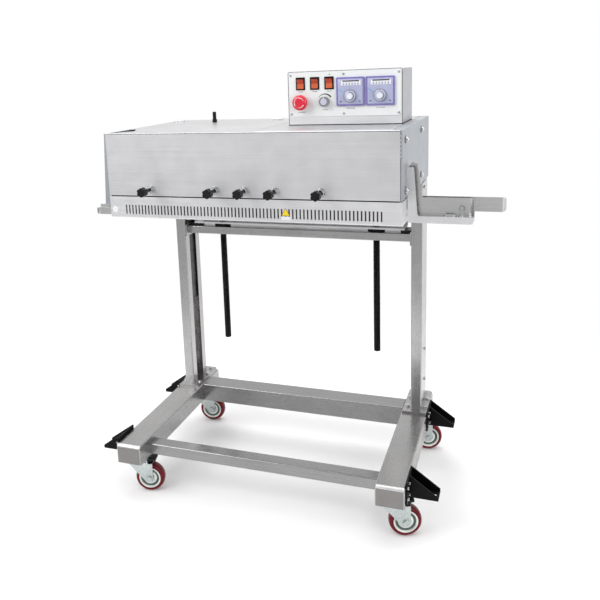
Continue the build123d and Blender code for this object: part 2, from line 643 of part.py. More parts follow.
def speed_knob():
    """Fluted knob on a potentiometer shaft."""
    y = BOX_Y0 - PLATE_T - RUN_GAP
    knob = rod(12.5, SPEED[0], y - 14, SPEED[1], 14, "y")
    for step in range(18):
        turn = math.radians(20 * step)
        knob -= rod(1.1, SPEED[0] + 12.9 * math.cos(turn), y - 12, SPEED[1] + 12.9 * math.sin(turn), 14, "y")
    return knob + rod(3.7, SPEED[0], y - 1, SPEED[1], 22, "y")


def cable_gland():
    """Gland for the supply lead in the rear sheet."""
    gland = rod(8.9, -60, HALF_D - SHEET - 6, 900, 12, "y") + rod(13, -60, HALF_D, 900, 6, "y")
    gland += rod(10, -60, HALF_D + 6, 900, 12, "y")
    return gland - rod(4, -60, HALF_D - SHEET - 7, 900, 30, "y")


def build_stand():
    beam, post, foot = side_beam(), upright(), foot_plate()
    save("side_beams", mirrored(beam), beam)
    save("rear_beam", cross_tube(REAR_Y0, REAR_Y1, 109, BEAM_Z1))
    save("front_beam", cross_tube(FRONT_Y0, FRONT_Y1, FRONT_Z0, FRONT_Z1))
    save("uprights", mirrored(post), post)
    save("foot_plates", mirrored(foot), foot)
    save("frame_bolts", *frame_bolts())
    save("crossbar", crossbar())
    save("rest_pads", *rest_pads())
    brackets = [stabiliser(y) for y in STAB_Y]
    save("stabiliser_brackets", *brackets, *[mirrored(b) for b in brackets])
    save("caster_plates", *[caster_plate(side * CASTER_X, CASTER_Y[row]) for side, row in CORNERS.values()])


def build_casters():
    for corner, (side, row) in CORNERS.items():
        save("caster_fork_" + corner, *[place_caster(corner, piece) for piece in caster_fork()])
        save("caster_hub_" + corner, place_caster(corner, caster_hub()))
        save("caster_tyre_" + corner, place_caster(corner, caster_tyre()))
        if row == 0:
            save("brake_pedal_" + corner, place_caster(corner, brake_pedal()))


def build_head():
    rail = slide_rail()
    save("slide_rails", mirrored(rail), rail)
    save("jack_rods", jack_rod(-1), jack_rod(1))
    save("head_chassis", head_chassis())
    save("belt_guard", belt_guard())
    save("front_cover", front_cover())
    save("side_covers", side_cover(-1), side_cover(1))
    save("top_panel", top_panel())
    save("lid", lid())
    save("lid_knob", lid_knob())
    save("cover_bolts", *cover_bolts())
    save("bag_guides", *bag_guides())
    save("gearmotor", gearmotor())
    save("seal_blocks", *seal_blocks())
    save("seal_bands", seal_band(front_pulley_y()), seal_band(rear_pulley_y()))
    save("cable_gland", cable_gland())
    for name, side in (("left", -1), ("right", 1)):
        save("hand_nut_" + name, hand_nut(side))
        save("band_pulley_front_" + name, band_pulley(side * PULLEY_X, front_pulley_y()))
        save("band_pulley_rear_" + name, band_pulley(side * PULLEY_X, rear_pulley_y()))
    save("knob_bosses", *[knob_boss(x) for x in KNOB_X])
    for number, x in enumerate(KNOB_X, 1):
        save("pressure_knob_" + str(number), pressure_knob(x))


def build_controls():
    save("control_box", control_box())
    save("control_panel", control_panel())
    save("temperature_controllers", *[temperature_controller(x, z) for x, z in METERS])
    for number, (x, z) in enumerate(METERS, 1):
        save("dial_" + str(number), dial(x, z))
    for number, (x, z) in enumerate(ROCKERS, 1):
        save("rocker_" + str(number), rocker(x, z))
    save("estop_button", estop_button())
    save("speed_knob", speed_knob())


build_stand()
build_casters()
build_head()
build_controls()
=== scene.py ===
import json
import math

import bmesh
import bpy
from mathutils import Matrix, Vector


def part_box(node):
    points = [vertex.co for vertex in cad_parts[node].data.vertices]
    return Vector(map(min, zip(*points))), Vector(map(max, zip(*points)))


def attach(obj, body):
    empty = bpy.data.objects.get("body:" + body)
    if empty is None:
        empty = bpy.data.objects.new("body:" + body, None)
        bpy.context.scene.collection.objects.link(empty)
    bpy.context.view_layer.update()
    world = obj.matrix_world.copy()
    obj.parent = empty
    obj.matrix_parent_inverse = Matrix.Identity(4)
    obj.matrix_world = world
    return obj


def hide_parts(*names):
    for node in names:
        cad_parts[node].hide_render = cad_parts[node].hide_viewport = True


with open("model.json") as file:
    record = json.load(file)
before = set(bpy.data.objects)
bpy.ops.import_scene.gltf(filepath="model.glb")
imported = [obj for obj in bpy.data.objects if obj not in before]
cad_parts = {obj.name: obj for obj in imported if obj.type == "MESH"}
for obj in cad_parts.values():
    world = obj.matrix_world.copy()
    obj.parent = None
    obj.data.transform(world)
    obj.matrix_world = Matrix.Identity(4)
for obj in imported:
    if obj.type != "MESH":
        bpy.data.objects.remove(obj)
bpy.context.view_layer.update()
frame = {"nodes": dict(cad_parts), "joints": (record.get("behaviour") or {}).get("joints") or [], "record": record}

MM = 0.001
NODES = frame["nodes"]
BODY_OF = {node: body for body, nodes in frame["record"]["behaviour"]["bodies"].items() for node in nodes}
JOINTS = {joint["name"]: joint for joint in frame["joints"]}

# Camera: the operator's side, a little to the right of the machine and level with its top
CAMERA_AT = (0.5896, -1.9073, 1.1739)
CAMERA_TURN = (78.306, 2.401, 20.651)
CAMERA_LENS = 44.11
CAMERA_SHIFT = (0.0892, -0.1279)


# Materials

class Shader:
    """A small helper that adds nodes to one procedural material."""

    def __init__(self, name, **inputs):
        self.material = bpy.data.materials.new(name)
        self.material.use_nodes = True
        self.tree = self.material.node_tree
        self.main = self.tree.nodes["Principled BSDF"]
        self.place = self.tree.nodes.new("ShaderNodeTexCoord")
        for key, value in inputs.items():
            self.main.inputs[key.replace("_", " ")].default_value = value

    def node(self, kind, links=(), **values):
        made = self.tree.nodes.new(kind)
        for key, value in values.items():
            if hasattr(made, key):
                setattr(made, key, value)
            else:
                made.inputs[key.replace("_", " ")].default_value = value
        for socket, source in links:
            self.tree.links.new(source, made.inputs[socket])
        return made

    def mapped(self, scale, offset=(0, 0, 0)):
        made = self.node("ShaderNodeMapping", [("Vector", self.place.outputs["Object"])])
        made.inputs["Scale"].default_value = scale
        made.inputs["Location"].default_value = offset
        return made.outputs["Vector"]

    def noise(self, scale, detail=4.0, rough=0.5, offset=(0, 0, 0)):
        vector = self.mapped(scale, offset)
        made = self.node("ShaderNodeTexNoise", [("Vector", vector)], Scale=1.0, Detail=detail,
                         Roughness=rough)
        return made.outputs["Fac"]

    def ramp(self, source, low, high, stops):
        made = self.node("ShaderNodeValToRGB", [("Fac", source)])
        made.color_ramp.elements[0].position = low
        made.color_ramp.elements[1].position = high
        made.color_ramp.elements[0].color = (*stops[0], 1.0)
        made.color_ramp.elements[1].color = (*stops[1], 1.0)
        return made.outputs["Color"]

    def span(self, source, low, high, to_low, to_high):
        made = self.node("ShaderNodeMapRange", [("Value", source)])
        for key, value in (("From Min", low), ("From Max", high), ("To Min", to_low), ("To Max", to_high)):
            made.inputs[key].default_value = value
        return made.outputs["Result"]

    def multiply(self, first, second, factor=1.0):
        made = self.node("ShaderNodeMix", data_type="RGBA", blend_type="MULTIPLY")
        made.inputs["Factor"].default_value = factor
        self.tree.links.new(first, made.inputs[6])
        self.tree.links.new(second, made.inputs[7])
        return made.outputs[2]

    def colour(self, source):
        self.tree.links.new(source, self.main.inputs["Base Color"])

    def roughness(self, source):
        self.tree.links.new(source, self.main.inputs["Roughness"])

    def bump(self, source, height, strength=1.0):
        made = self.node("ShaderNodeBump", [("Height", source)])
        made.inputs["Strength"].default_value = strength
        made.inputs["Distance"].default_value = height
        self.tree.links.new(made.outputs["Normal"], self.main.inputs["Normal"])


GRAIN = {"x": (5.0, 1000.0, 1000.0), "y": (1000.0, 5.0, 1000.0), "z": (1000.0, 1000.0, 5.0)}


def brushed_steel(name, tone, along, rough, contrast, metallic):
    """Brushed stainless: fine streaks along one axis over slow cloudy handling marks."""
    made = Shader(name, Metallic=metallic)
    streaks = made.noise(GRAIN[along], detail=3.0, rough=0.65)
    clouds = made.noise((5.0, 5.0, 5.0), detail=5.0, rough=0.6, offset=(3.1, 1.7, 0.4))
    smears = made.noise((26.0, 26.0, 26.0), detail=2.0, rough=0.5, offset=(0.3, 5.2, 2.2))
    dark = tuple(c * (1 - contrast) for c in tone)
    light = tuple(min(1.0, c * (1 + contrast)) for c in tone)
    base = made.ramp(streaks, 0.3, 0.7, (dark, light))
    shade = made.ramp(clouds, 0.3, 0.75, ((0.86, 0.86, 0.87), (1.0, 1.0, 1.0)))
    made.colour(made.multiply(base, shade))
    spread = made.span(streaks, 0.25, 0.75, rough - 0.06, rough + 0.07)
    wipe = made.span(smears, 0.35, 0.75, -0.03, 0.05)
    total = made.node("ShaderNodeMath", [(0, spread), (1, wipe)], operation="ADD")
    made.roughness(total.outputs[0])
    made.bump(streaks, 0.00002, 0.20)
    return made.material


def plated_steel(name, tone, rough=0.24):
    """Zinc plate: faint crystal mottling and tiny dents."""
    made = Shader(name, Metallic=1.0)
    mottle = made.noise((160.0, 160.0, 160.0), detail=3.0)
    clouds = made.noise((22.0, 22.0, 22.0), detail=4.0, offset=(2.0, 0.5, 1.0))
    base = made.ramp(mottle, 0.3, 0.7, (tuple(c * 0.82 for c in tone), tone))
    made.colour(made.multiply(base, made.ramp(clouds, 0.3, 0.7, ((0.85, 0.87, 0.86), (1, 1, 1)))))
    made.roughness(made.span(mottle, 0.3, 0.7, rough - 0.05, rough + 0.12))
    made.bump(mottle, 0.00005, 0.25)
    return made.material


def moulded(name, tone, rough=0.45, grain=900.0, lift=0.00005, vary=0.18, **inputs):
    """Moulded plastic, coating or rubber with a fine texture and slightly uneven colour."""
    made = Shader(name, **inputs)
    texture = made.noise((grain, grain, grain), detail=2.0)
    clouds = made.noise((30.0, 30.0, 30.0), detail=4.0, offset=(1.3, 0.2, 4.4))
    dark = tuple(c * (1 - vary) for c in tone)
    light = tuple(min(1, c * (1 + vary)) for c in tone)
    made.colour(made.ramp(clouds, 0.3, 0.7, (dark, light)))
    made.roughness(made.span(clouds, 0.3, 0.7, rough - 0.05, rough + 0.08))
    made.bump(texture, lift, 0.4)
    return made.material


def woven(name, tone):
    """Coated glass cloth: a fine square weave under a waxy skin."""
    made = Shader(name, Coat_Weight=0.3)
    waves = []
    for direction in ("X", "Z"):
        wave = made.node("ShaderNodeTexWave", [("Vector", made.mapped((1, 1, 1)))], bands_direction=direction,
                         Scale=480.0, Distortion=0.6)
        waves.append(wave.outputs["Fac"])
    cross = made.node("ShaderNodeMath", [(0, waves[0]), (1, waves[1])], operation="MULTIPLY")
    made.colour(made.ramp(cross.outputs[0], 0.0, 1.0, (tuple(c * 0.6 for c in tone), tone)))
    made.roughness(made.span(cross.outputs[0], 0.0, 1.0, 0.35, 0.55))
    made.bump(cross.outputs[0], 0.0001, 0.5)
    return made.material


SHEET_X = brushed_steel("sheet_steel_x", (0.71, 0.71, 0.715), "x", 0.48, 0.05, 0.85)
# A darker copy of the head's sheet steel: painted shade on the side covers.
SHEET_Y = brushed_steel("sheet_steel_y", (0.45, 0.475, 0.505), "y", 0.46, 0.05, 0.85)
SHEET_TOP = brushed_steel("sheet_steel_top", (0.58, 0.58, 0.585), "x", 0.38, 0.05, 1.0)
SHEET_GUARD = brushed_steel("sheet_steel_guard", (0.81, 0.81, 0.815), "x", 0.46, 0.05, 0.85)
SHEET_PALE = brushed_steel("sheet_steel_pale", (0.86, 0.865, 0.87), "x", 0.42, 0.03, 0.55)
# A darker copy of the pale box steel: painted shade on the control box's side faces.
SHEET_SIDE_SHADE = brushed_steel("sheet_steel_side_shade", (0.47, 0.475, 0.50), "z", 0.36, 0.06, 1.0)
GUIDE = brushed_steel("guide_steel", (0.66, 0.66, 0.655), "x", 0.30, 0.05, 1.0)
# The frame copies are one stainless steel whose tones differ as painted light and shade for the way their faces
# look: darkest for the front and rear beams, paler for the crossbar.
FRAME_X = brushed_steel("frame_steel_x", (0.32, 0.315, 0.315), "x", 0.26, 0.09, 1.0)
FRAME_Y = brushed_steel("frame_steel_y", (0.41, 0.405, 0.40), "y", 0.26, 0.08, 1.0)
FRAME_Z = brushed_steel("frame_steel_z", (0.50, 0.49, 0.485), "z", 0.24, 0.08, 1.0)
# Painted shade for the beams' flat ends and a painted highlight for their bent corners.
FRAME_END_SHADE = brushed_steel("frame_steel_end_shade", (0.25, 0.24, 0.235), "x", 0.32, 0.07, 1.0)
FRAME_BEND_HIGHLIGHT = brushed_steel("frame_steel_bend_highlight", (0.86, 0.86, 0.86), "x", 0.30, 0.03, 1.0)
FRAME_BAR = brushed_steel("frame_steel_bar", (0.46, 0.455, 0.45), "x", 0.30, 0.12, 1.0)
BRIGHT = plated_steel("polished_steel", (0.66, 0.66, 0.67), 0.13)
ZINC = plated_steel("zinc_plate", (0.58, 0.62, 0.62), 0.22)
BLACK_COAT = moulded("black_coat", (0.002, 0.002, 0.0025), 0.45, 700.0, 0.00008, Specular_IOR_Level=0.12)
BLACK_PLASTIC = moulded("black_plastic", (0.008, 0.008, 0.008), 0.36, 1100.0, 0.00004,
                        Specular_IOR_Level=0.22)
BLACK_STEEL = moulded("black_steel", (0.004, 0.004, 0.0045), 0.40, 800.0, 0.00006, Specular_IOR_Level=0.16)
DARK_RAIL = moulded("dark_rail", (0.085, 0.085, 0.088), 0.45, 600.0, 0.00006, 0.35, Metallic=0.7)
SHADOW = moulded("shadow_gap", (0.018, 0.018, 0.019), 0.80, 600.0, 0.00003, Specular_IOR_Level=0.05)
# A dark sheet behind the vent slots, painted shade for the inside of the guard.
VENT_SHADE = moulded("vent_shade_sheet", (0.075, 0.074, 0.072), 0.80, 600.0, 0.00003, Specular_IOR_Level=0.05)
TYRE = moulded("red_tread", (0.125, 0.001, 0.006), 0.26, 500.0, 0.00003, 0.22, Specular_IOR_Level=0.18,
               Coat_Weight=0.10, Coat_Roughness=0.12)
RIM_LIGHT = moulded("rim_light", (0.74, 0.77, 0.74), 0.40)
RIM_DARK = moulded("rim_dark", (0.075, 0.10, 0.085), 0.45)
PANEL = moulded("panel_paint", (0.80, 0.82, 0.815), 0.34, 1500.0, 0.00001, 0.02)
MOTOR = moulded("motor_enamel", (0.07, 0.10, 0.11), 0.40, 500.0, 0.0001)
ALLOY = plated_steel("block_alloy", (0.66, 0.62, 0.52), 0.34)
BAND = woven("band_cloth", (0.30, 0.17, 0.08))
DRUM = moulded("drum_rubber", (0.05, 0.045, 0.045), 0.6, 600.0, 0.0001)
ORANGE = moulded("rocker_orange", (0.42, 0.035, 0.004), 0.26, 1500.0, 0.00001, 0.10, Coat_Weight=0.5)
# A brighter copy of the key orange: a painted highlight on each key's lower part.
ORANGE_HIGHLIGHT = moulded("rocker_glow", (0.62, 0.11, 0.03), 0.28, 1500.0, 0.00001, 0.08, Coat_Weight=0.5)
RED = moulded("stop_red", (0.66, 0.006, 0.034), 0.24, 1500.0, 0.00001, 0.08, Coat_Weight=0.5)
WHITE_MARK = moulded("white_mark", (0.80, 0.80, 0.80), 0.40, 1500.0, 0.00001, 0.03)
PALE_RED = moulded("pale_red_mark", (0.90, 0.70, 0.70), 0.40, 1500.0, 0.00001, 0.03)
BLACK_MARK = moulded("black_mark", (0.02, 0.02, 0.022), 0.45, 1500.0, 0.00001)
GREY_MARK = moulded("grey_mark", (0.42, 0.43, 0.47), 0.45, 1500.0, 0.00001)
GREY_KNOB = moulded("grey_knob", (0.20, 0.215, 0.22), 0.38, 900.0, 0.00003)
LILAC = moulded("lilac_frame", (0.19, 0.165, 0.44), 0.28, 1200.0, 0.00001, 0.10, Coat_Weight=0.4)
LILAC_FACE = moulded("lilac_face", (0.40, 0.42, 0.60), 0.30, 1200.0, 0.00001, 0.06, Coat_Weight=0.3)
DIAL_GREY = moulded("dial_grey", (0.16, 0.17, 0.22), 0.25, 1200.0, 0.00001, 0.08, Coat_Weight=0.5)
DIAL_LIGHT = moulded("dial_light", (0.52, 0.54, 0.66), 0.22, 1200.0, 0.00001, 0.05, Coat_Weight=0.6)
DIAL_CENTRE = moulded("dial_centre", (0.78, 0.80, 0.88), 0.25, 1200.0, 0.00001, 0.04, Coat_Weight=0.5)
BLUE_MARK = moulded("blue_mark", (0.10, 0.40, 0.78), 0.35, 1500.0, 0.00001)
YELLOW = moulded("yellow_mark", (0.90, 0.66, 0.02), 0.38, 1500.0, 0.00001, 0.04)
GREEN = moulded("green_lamp", (0.16, 0.52, 0.30), 0.25, 1500.0, 0.00001, 0.05, Coat_Weight=0.5)


# Mesh helpers

def add_object(name, mesh, body, materials, smooth=35.0):
    """Link a mesh as a piece that rides on a body."""
    piece = bpy.data.objects.new(name, mesh)
    bpy.context.scene.collection.objects.link(piece)
    for material in materials if isinstance(materials, (list, tuple)) else [materials]:
        mesh.materials.append(material)
    mesh.polygons.foreach_set("use_smooth", [True] * len(mesh.polygons))
    mesh.set_sharp_from_angle(angle=math.radians(smooth))
    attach(piece, body)
    return piece


def mesh_from(bm, name):
    bmesh.ops.recalc_face_normals(bm, faces=bm.faces)
    mesh = bpy.data.meshes.new(name)
    bm.to_mesh(mesh)
    bm.free()
    return mesh


def bevel_sharp(bm, width, segments=2, angle=32.0):
    """Round every edge that turns by more than an angle."""
    limit = math.radians(angle)
    edges = [e for e in bm.edges if len(e.link_faces) == 2 and e.calc_face_angle(0) > limit]
    bmesh.ops.bevel(bm, geom=edges, offset=width, offset_type="OFFSET", segments=segments, profile=0.5,
                    affect="EDGES", clamp_overlap=True)


def machined(node, materials, width=0.0006, segments=2, pick=None):
    """A node's shape with its edges broken, as the real piece has them, in place of the CAD node."""
    bm = bmesh.new()
    bm.from_mesh(NODES[node].data)
    bmesh.ops.remove_doubles(bm, verts=bm.verts, dist=0.00001)
    bmesh.ops.dissolve_limit(bm, angle_limit=math.radians(0.4), verts=bm.verts, edges=bm.edges)
    if width:
        bevel_sharp(bm, width, segments)
    if pick:
        for face in bm.faces:
            face.material_index = pick(face)
    piece = add_object(node + "_finished", mesh_from(bm, node + "_finished"), BODY_OF[node], materials)
    evened = piece.modifiers.new("evened", "WEIGHTED_NORMAL")
    evened.keep_sharp = True
    evened.weight = 80
    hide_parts(node)
    return piece


def axis_frame(axis):
    """A rotation that carries +Z to an axis."""
    return Vector(axis).normalized().to_track_quat("Z", "Y").to_matrix().to_4x4()


def lathe(name, profile, at, axis, body, materials, turns=64, closed=False, smooth=35.0):
    """A turned piece. The profile lists (radius, height, material index) along the axis."""
    bm = bmesh.new()
    place = Matrix.Translation(at) @ axis_frame(axis)
    rings = []
    for radius, height, _ in profile:
        if radius < 1e-7:
            rings.append([bm.verts.new(place @ Vector((0, 0, height)))])
            continue
        rings.append([bm.verts.new(place @ Vector((radius * math.cos(a), radius * math.sin(a), height)))
                      for a in (2 * math.pi * n / turns for n in range(turns))])
    pairs = list(zip(rings, rings[1:])) + ([(rings[-1], rings[0])] if closed else [])
    for index, (low, high) in enumerate(pairs):
        for n in range(turns):
            m = (n + 1) % turns
            corners = [low[n % len(low)], low[m % len(low)], high[m % len(high)], high[n % len(high)]]
            corners = list(dict.fromkeys(corners))
            if len(corners) > 2:
                face = bm.faces.new(corners)
                face.material_index = profile[index][2]
    return add_object(name, mesh_from(bm, name), body, materials, smooth)


def plate(name, outline, thickness, at, body, materials, bevel=0.0003):
    """A flat piece on a face that looks towards -Y. The outline is in (x, z), in metres."""
    bm = bmesh.new()
    front = [bm.verts.new((at[0] + x, at[1] - thickness, at[2] + z)) for x, z in outline]
    back = [bm.verts.new((at[0] + x, at[1], at[2] + z)) for x, z in outline]
    bm.faces.new(front)
    bm.faces.new(list(reversed(back)))
    for n in range(len(outline)):
        m = (n + 1) % len(outline)
        bm.faces.new((front[m], front[n], back[n], back[m]))
    if bevel:
        bmesh.ops.recalc_face_normals(bm, faces=bm.faces)
        bevel_sharp(bm, bevel, 2, 50.0)
    return add_object(name, mesh_from(bm, name), body, materials)


def rectangle(width, height, corner=0.0, steps=4):
    """Outline of a rectangle with rounded corners."""
    points = []
    for sx, sz, start in ((1, 1, 0), (-1, 1, 90), (-1, -1, 180), (1, -1, 270)):
        cx, cz = sx * (width / 2 - corner), sz * (height / 2 - corner)
        if not corner:
            points.append((cx, cz))
            continue
        for n in range(steps + 1):
            a = math.radians(start + 90 * n / steps)
            points.append((cx + corner * math.cos(a), cz + corner * math.sin(a)))
    return points


def arc_band(radius, width, start, end, taper=0.0, steps=18):
    """Outline of an arc-shaped mark; a taper thins its first end."""
    outer, inner = [], []
    for n in range(steps + 1):
        t = n / steps
        a = math.radians(start + (end - start) * t)
        half = width / 2 * (1 - taper * (1 - t))
        outer.append(((radius + half) * math.cos(a), (radius + half) * math.sin(a)))
        inner.append(((radius - half) * math.cos(a), (radius - half) * math.sin(a)))
    return outer + list(reversed(inner))


# CAD pieces that keep their shape and get broken edges

def beam_painted_light(face):
    """Flat ends take a darker copy of the steel as painted shade, and the bent corners a paler copy as a painted
    highlight.
    """
    n = face.normal
    if abs(n.y) > 0.98:
        return 1
    return 2 if abs(n.y) > 0.12 and n.z > 0.12 and abs(n.x) < 0.3 else 0


GUIDES_LOW, GUIDES_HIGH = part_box("bag_guides")
SCREW_X = GUIDES_HIGH.x - 0.097      # centre of the bracket's clamp screw
SCREW_R = 0.0055
SCREW_Z = (0.8205, 0.8435)           # just above the bracket's floor, and the screw's top


def guide_zone(face):
    """The clamp screw is polished, and the bracket's outer faces take a paler copy of the steel as a painted
    highlight.
    """
    at = face.calc_center_median()
    if abs(at.x - SCREW_X) < SCREW_R and len(face.verts) < 5 and SCREW_Z[0] < at.z < SCREW_Z[1]:
        return 1
    # Faces that look to -Y at the bracket's front get the paler steel as a painted highlight.
    return 2 if face.normal.y < -0.9 and at.y < GUIDES_LOW.y + 0.002 else 0


def dress_stand():
    machined("side_beams", [FRAME_Y, FRAME_END_SHADE, FRAME_BEND_HIGHLIGHT], 0.0004, 2, beam_painted_light)
    machined("rear_beam", FRAME_X, 0.0004)
    machined("front_beam", FRAME_X, 0.0004)
    machined("uprights", FRAME_Z, 0.0004)
    machined("foot_plates", FRAME_Y, 0.0008)
    machined("frame_bolts", BRIGHT, 0.0005)
    machined("crossbar", FRAME_BAR, 0.0004)
    machined("rest_pads", BLACK_PLASTIC, 0.0008)
    machined("stabiliser_brackets", BLACK_COAT, 0.0006)
    machined("caster_plates", ZINC, 0.0005)


def dress_head():
    machined("front_cover", SHEET_X, 0.0003)
    machined("belt_guard", SHEET_GUARD, 0.0003)
    machined("top_panel", SHEET_TOP, 0.0003)
    machined("lid", SHEET_TOP, 0.0003)
    # The control box's side faces get the darker copy as painted shade.
    machined("control_box", [SHEET_PALE, SHEET_SIDE_SHADE], 0.0003, 2, lambda face: int(abs(face.normal.x) > 0.6))
    machined("side_covers", SHEET_Y, 0.0003)
    machined("head_chassis", SHEET_X, 0.0003)
    machined("bag_guides", [GUIDE, BRIGHT, SHEET_GUARD], 0.0004, 2, guide_zone)
    machined("slide_rails", DARK_RAIL, 0.0008)
    machined("cover_bolts", BRIGHT, 0.0)
    machined("knob_bosses", BRIGHT, 0.0005)
    machined("gearmotor", MOTOR, 0.0015)
    machined("seal_blocks", ALLOY, 0.0005)
    machined("seal_bands", BAND, 0.0)
    machined("cable_gland", BLACK_PLASTIC, 0.0006)
    machined("control_panel", PANEL, 0.0004)
    machined("lid_knob", BLACK_PLASTIC, 0.0006)
    for side in ("left", "right"):
        machined("hand_nut_" + side, BLACK_STEEL, 0.0006)
        for row in ("front", "rear"):
            machined("band_pulley_%s_%s" % (row, side), DRUM, 0.0006)
    for number in range(1, 6):
        machined("pressure_knob_%d" % number, BLACK_PLASTIC, 0.0012, 3)


def dress_casters():
    for corner in ("fl", "fr", "rl", "rr"):
        machined("caster_fork_" + corner, ZINC, 0.0006)
        if corner in ("fl", "fr"):
            machined("brake_pedal_" + corner, BLACK_PLASTIC, 0.0008)


# Wheels

def wheel(corner):
    """Tread with a moulded crown and a rim with a dark groove and a bearing."""
    joint = JOINTS["wheel_%s_roll" % corner]
    at, axis, body = Vector(joint["pos_m"]), joint["axis"], joint["child"]
    tread = []
    for side in (-1, 1):
        rows = [(31.2, 14.2), (32.4, 14.9), (34.2, 15.0), (36.2, 14.3), (38.6, 12.6), (40.4, 10.2), (41.4, 7.0),
                (41.9, 3.5)]
        rows = rows if side < 0 else list(reversed(rows))
        tread += [(r * MM, side * h * MM, 0) for r, h in rows]
        if side < 0:
            tread.append((42.0 * MM, 0.0, 0))
    tyre = lathe("tyre_" + corner, tread, at, axis, body, TYRE, 96, closed=True)
    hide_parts("caster_tyre_" + corner)
    half = [(31.3, 6.0, 0), (31.3, 14.0, 0), (30.4, 14.8, 0), (27.6, 14.8, 0), (26.8, 14.0, 0), (26.2, 11.0, 1),
            (24.5, 10.2, 1), (21.0, 10.0, 1), (19.8, 10.8, 0), (18.6, 12.8, 0), (13.8, 13.2, 0), (13.2, 12.4, 1),
            (12.4, 11.8, 2), (9.2, 11.8, 2), (8.6, 12.6, 2), (5.1, 12.8, 2)]
    rows = [(r, -h, m) for r, h, m in half] + [(r, h, m) for r, h, m in reversed(half)]
    rim = lathe("rim_" + corner, [(r * MM, h * MM, m) for r, h, m in rows], at, axis, body,
                [RIM_LIGHT, RIM_DARK, BRIGHT], 96, closed=True)
    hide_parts("caster_hub_" + corner)


# Lifting screws

def threaded_rods():
    """Two trapezoidal screws cut as one true helix each."""
    low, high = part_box("jack_rods")
    turns_per_m, steps = 1 / 0.003, 28
    radius, depth = (high.y - low.y) / 2, 0.0011
    length = high.z - low.z
    bm = bmesh.new()
    for x in (low.x + radius, high.x - radius):
        y = (low.y + high.y) / 2
        rows = int(length * turns_per_m) * 4
        grid = []
        for row in range(rows + 1):
            z = low.z + length * row / rows
            ring = []
            for n in range(steps):
                a = 2 * math.pi * n / steps
                phase = (z * turns_per_m - n / steps) % 1.0
                cut = depth * min(1.0, max(0.0, abs(phase - 0.5) * 4 - 0.5))
                fade = min(1.0, (z - low.z) / 0.001, (high.z - z) / 0.001)
                r = radius - cut - 0.0012 * (1 - fade)
                ring.append(bm.verts.new((x + r * math.cos(a), y + r * math.sin(a), z)))
            grid.append(ring)
        for below, above in zip(grid, grid[1:]):
            for n in range(steps):
                m = (n + 1) % steps
                bm.faces.new((below[n], below[m], above[m], above[n]))
        bm.faces.new(list(reversed(grid[0])))
        bm.faces.new(grid[-1])
    rods = add_object("lifting_screws", mesh_from(bm, "lifting_screws"), "head", BLACK_STEEL,
                      60)
    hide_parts("jack_rods")


# Control panel

def front_of(node):
    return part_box(node)[0].y


def rockers():
    """Black bezels, each with its orange key, whose lower part is painted a brighter orange as a highlight."""
    for number in (1, 2, 3):
        node = "rocker_%d" % number
        joint = JOINTS[node + "_tilt"]
        x, _, z = joint["pos_m"]
        face = front_of("control_panel")
        bezel = bmesh.new()
        rings = []
        for width, height, out in ((24.5, 32.5, 0.0), (24.5, 32.5, 1.2), (23, 31, 2.0), (18.8, 26.8, 2.0),
                                   (18.2, 26.0, 1.4), (18.2, 26.0, -0.8)):
            rings.append([bezel.verts.new((x + u, face - out * MM, z + v))
                          for u, v in rectangle(width * MM, height * MM, 1.2 * MM)])
        for low, high in zip(rings, rings[1:]):
            for n in range(len(low)):
                m = (n + 1) % len(low)
                bezel.faces.new((low[n], low[m], high[m], high[n]))
        for n in range(len(rings[0])):
            m = (n + 1) % len(rings[0])
            bezel.faces.new((rings[-1][n], rings[-1][m], rings[0][m], rings[0][n]))
        add_object("rocker_bezel_%d" % number, mesh_from(bezel, "rocker_bezel"), "head", BLACK_PLASTIC)
        low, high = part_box(node)
        # Faces below this height get the brighter orange as a painted highlight.
        highlight_top = z - (high.z - low.z) * 0.22
        machined(node, [ORANGE, ORANGE_HIGHLIGHT], 0.0008, 3,
                 lambda face, limit=highlight_top: 1 if face.calc_center_median().z < limit else 0)


def stop_button():
    """Mushroom head with three pale arc marks, on a plain collar."""
    low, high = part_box("estop_button")
    x, z = (low.x + high.x) / 2, (low.z + high.z) / 2
    face = front_of("control_panel")
    front = low.y
    rows = [(0.0, 0.0), (7.0, 0.15), (12.0, 0.7), (15.5, 1.7), (18.0, 3.4), (19.4, 5.6), (20.0, 8.2), (19.8, 10.2),
            (18.6, 11.6), (16.0, 12.0), (11.5, 12.0), (10.0, 13.0), (10.0, 50.0), (0.0, 50.0)]
    profile = [(r * MM, -h * MM, 0) for r, h in rows]
    head = lathe("stop_head", profile, (x, front, z), (0, -1, 0), "estop", RED, 72)
    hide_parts("estop_button")
    for number, start in enumerate((20, 140, 260), 1):
        band = arc_band(12.6 * MM, 2.4 * MM, start, start + 74, taper=0.75)
        plate("stop_arrow_%d" % number, band, 0.0006, (x, front + 0.0011, z), "estop", PALE_RED,
              0)
    collar = [(11.2, 0.0), (15.0, 0.0), (15.0, 5.0), (14.0, 6.5), (11.2, 6.5)]
    lathe("stop_collar", [(r * MM, h * MM, 0) for r, h in collar], (x, face, z), (0, -1, 0), "head", RED,
          48, closed=True)


def speed_control():
    """Knob with a pointer line and a tapered arc scale above it."""
    machined("speed_knob", GREY_KNOB, 0.0004)
    low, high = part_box("speed_knob")
    x, z = (low.x + high.x) / 2, (low.z + high.z) / 2
    face = front_of("control_panel")
    plate("speed_pointer", [(-0.0007, 0.004), (0.0007, 0.004), (0.0007, 0.0115), (-0.0007, 0.0115)], 0.0003,
          (x, low.y, z), "speed_knob", WHITE_MARK, 0)
    lathe("speed_cap", [(0.0, 0.0009, 0), (0.0075, 0.0009, 0), (0.0085, 0.0, 0)], (x, low.y, z), (0, -1, 0),
          "speed_knob", DIAL_LIGHT, 32)
    plate("speed_scale", arc_band(0.0195, 0.0042, 150, 35, taper=0.9), 0.0002, (x, face, z), "head",
          BLACK_MARK, 0)


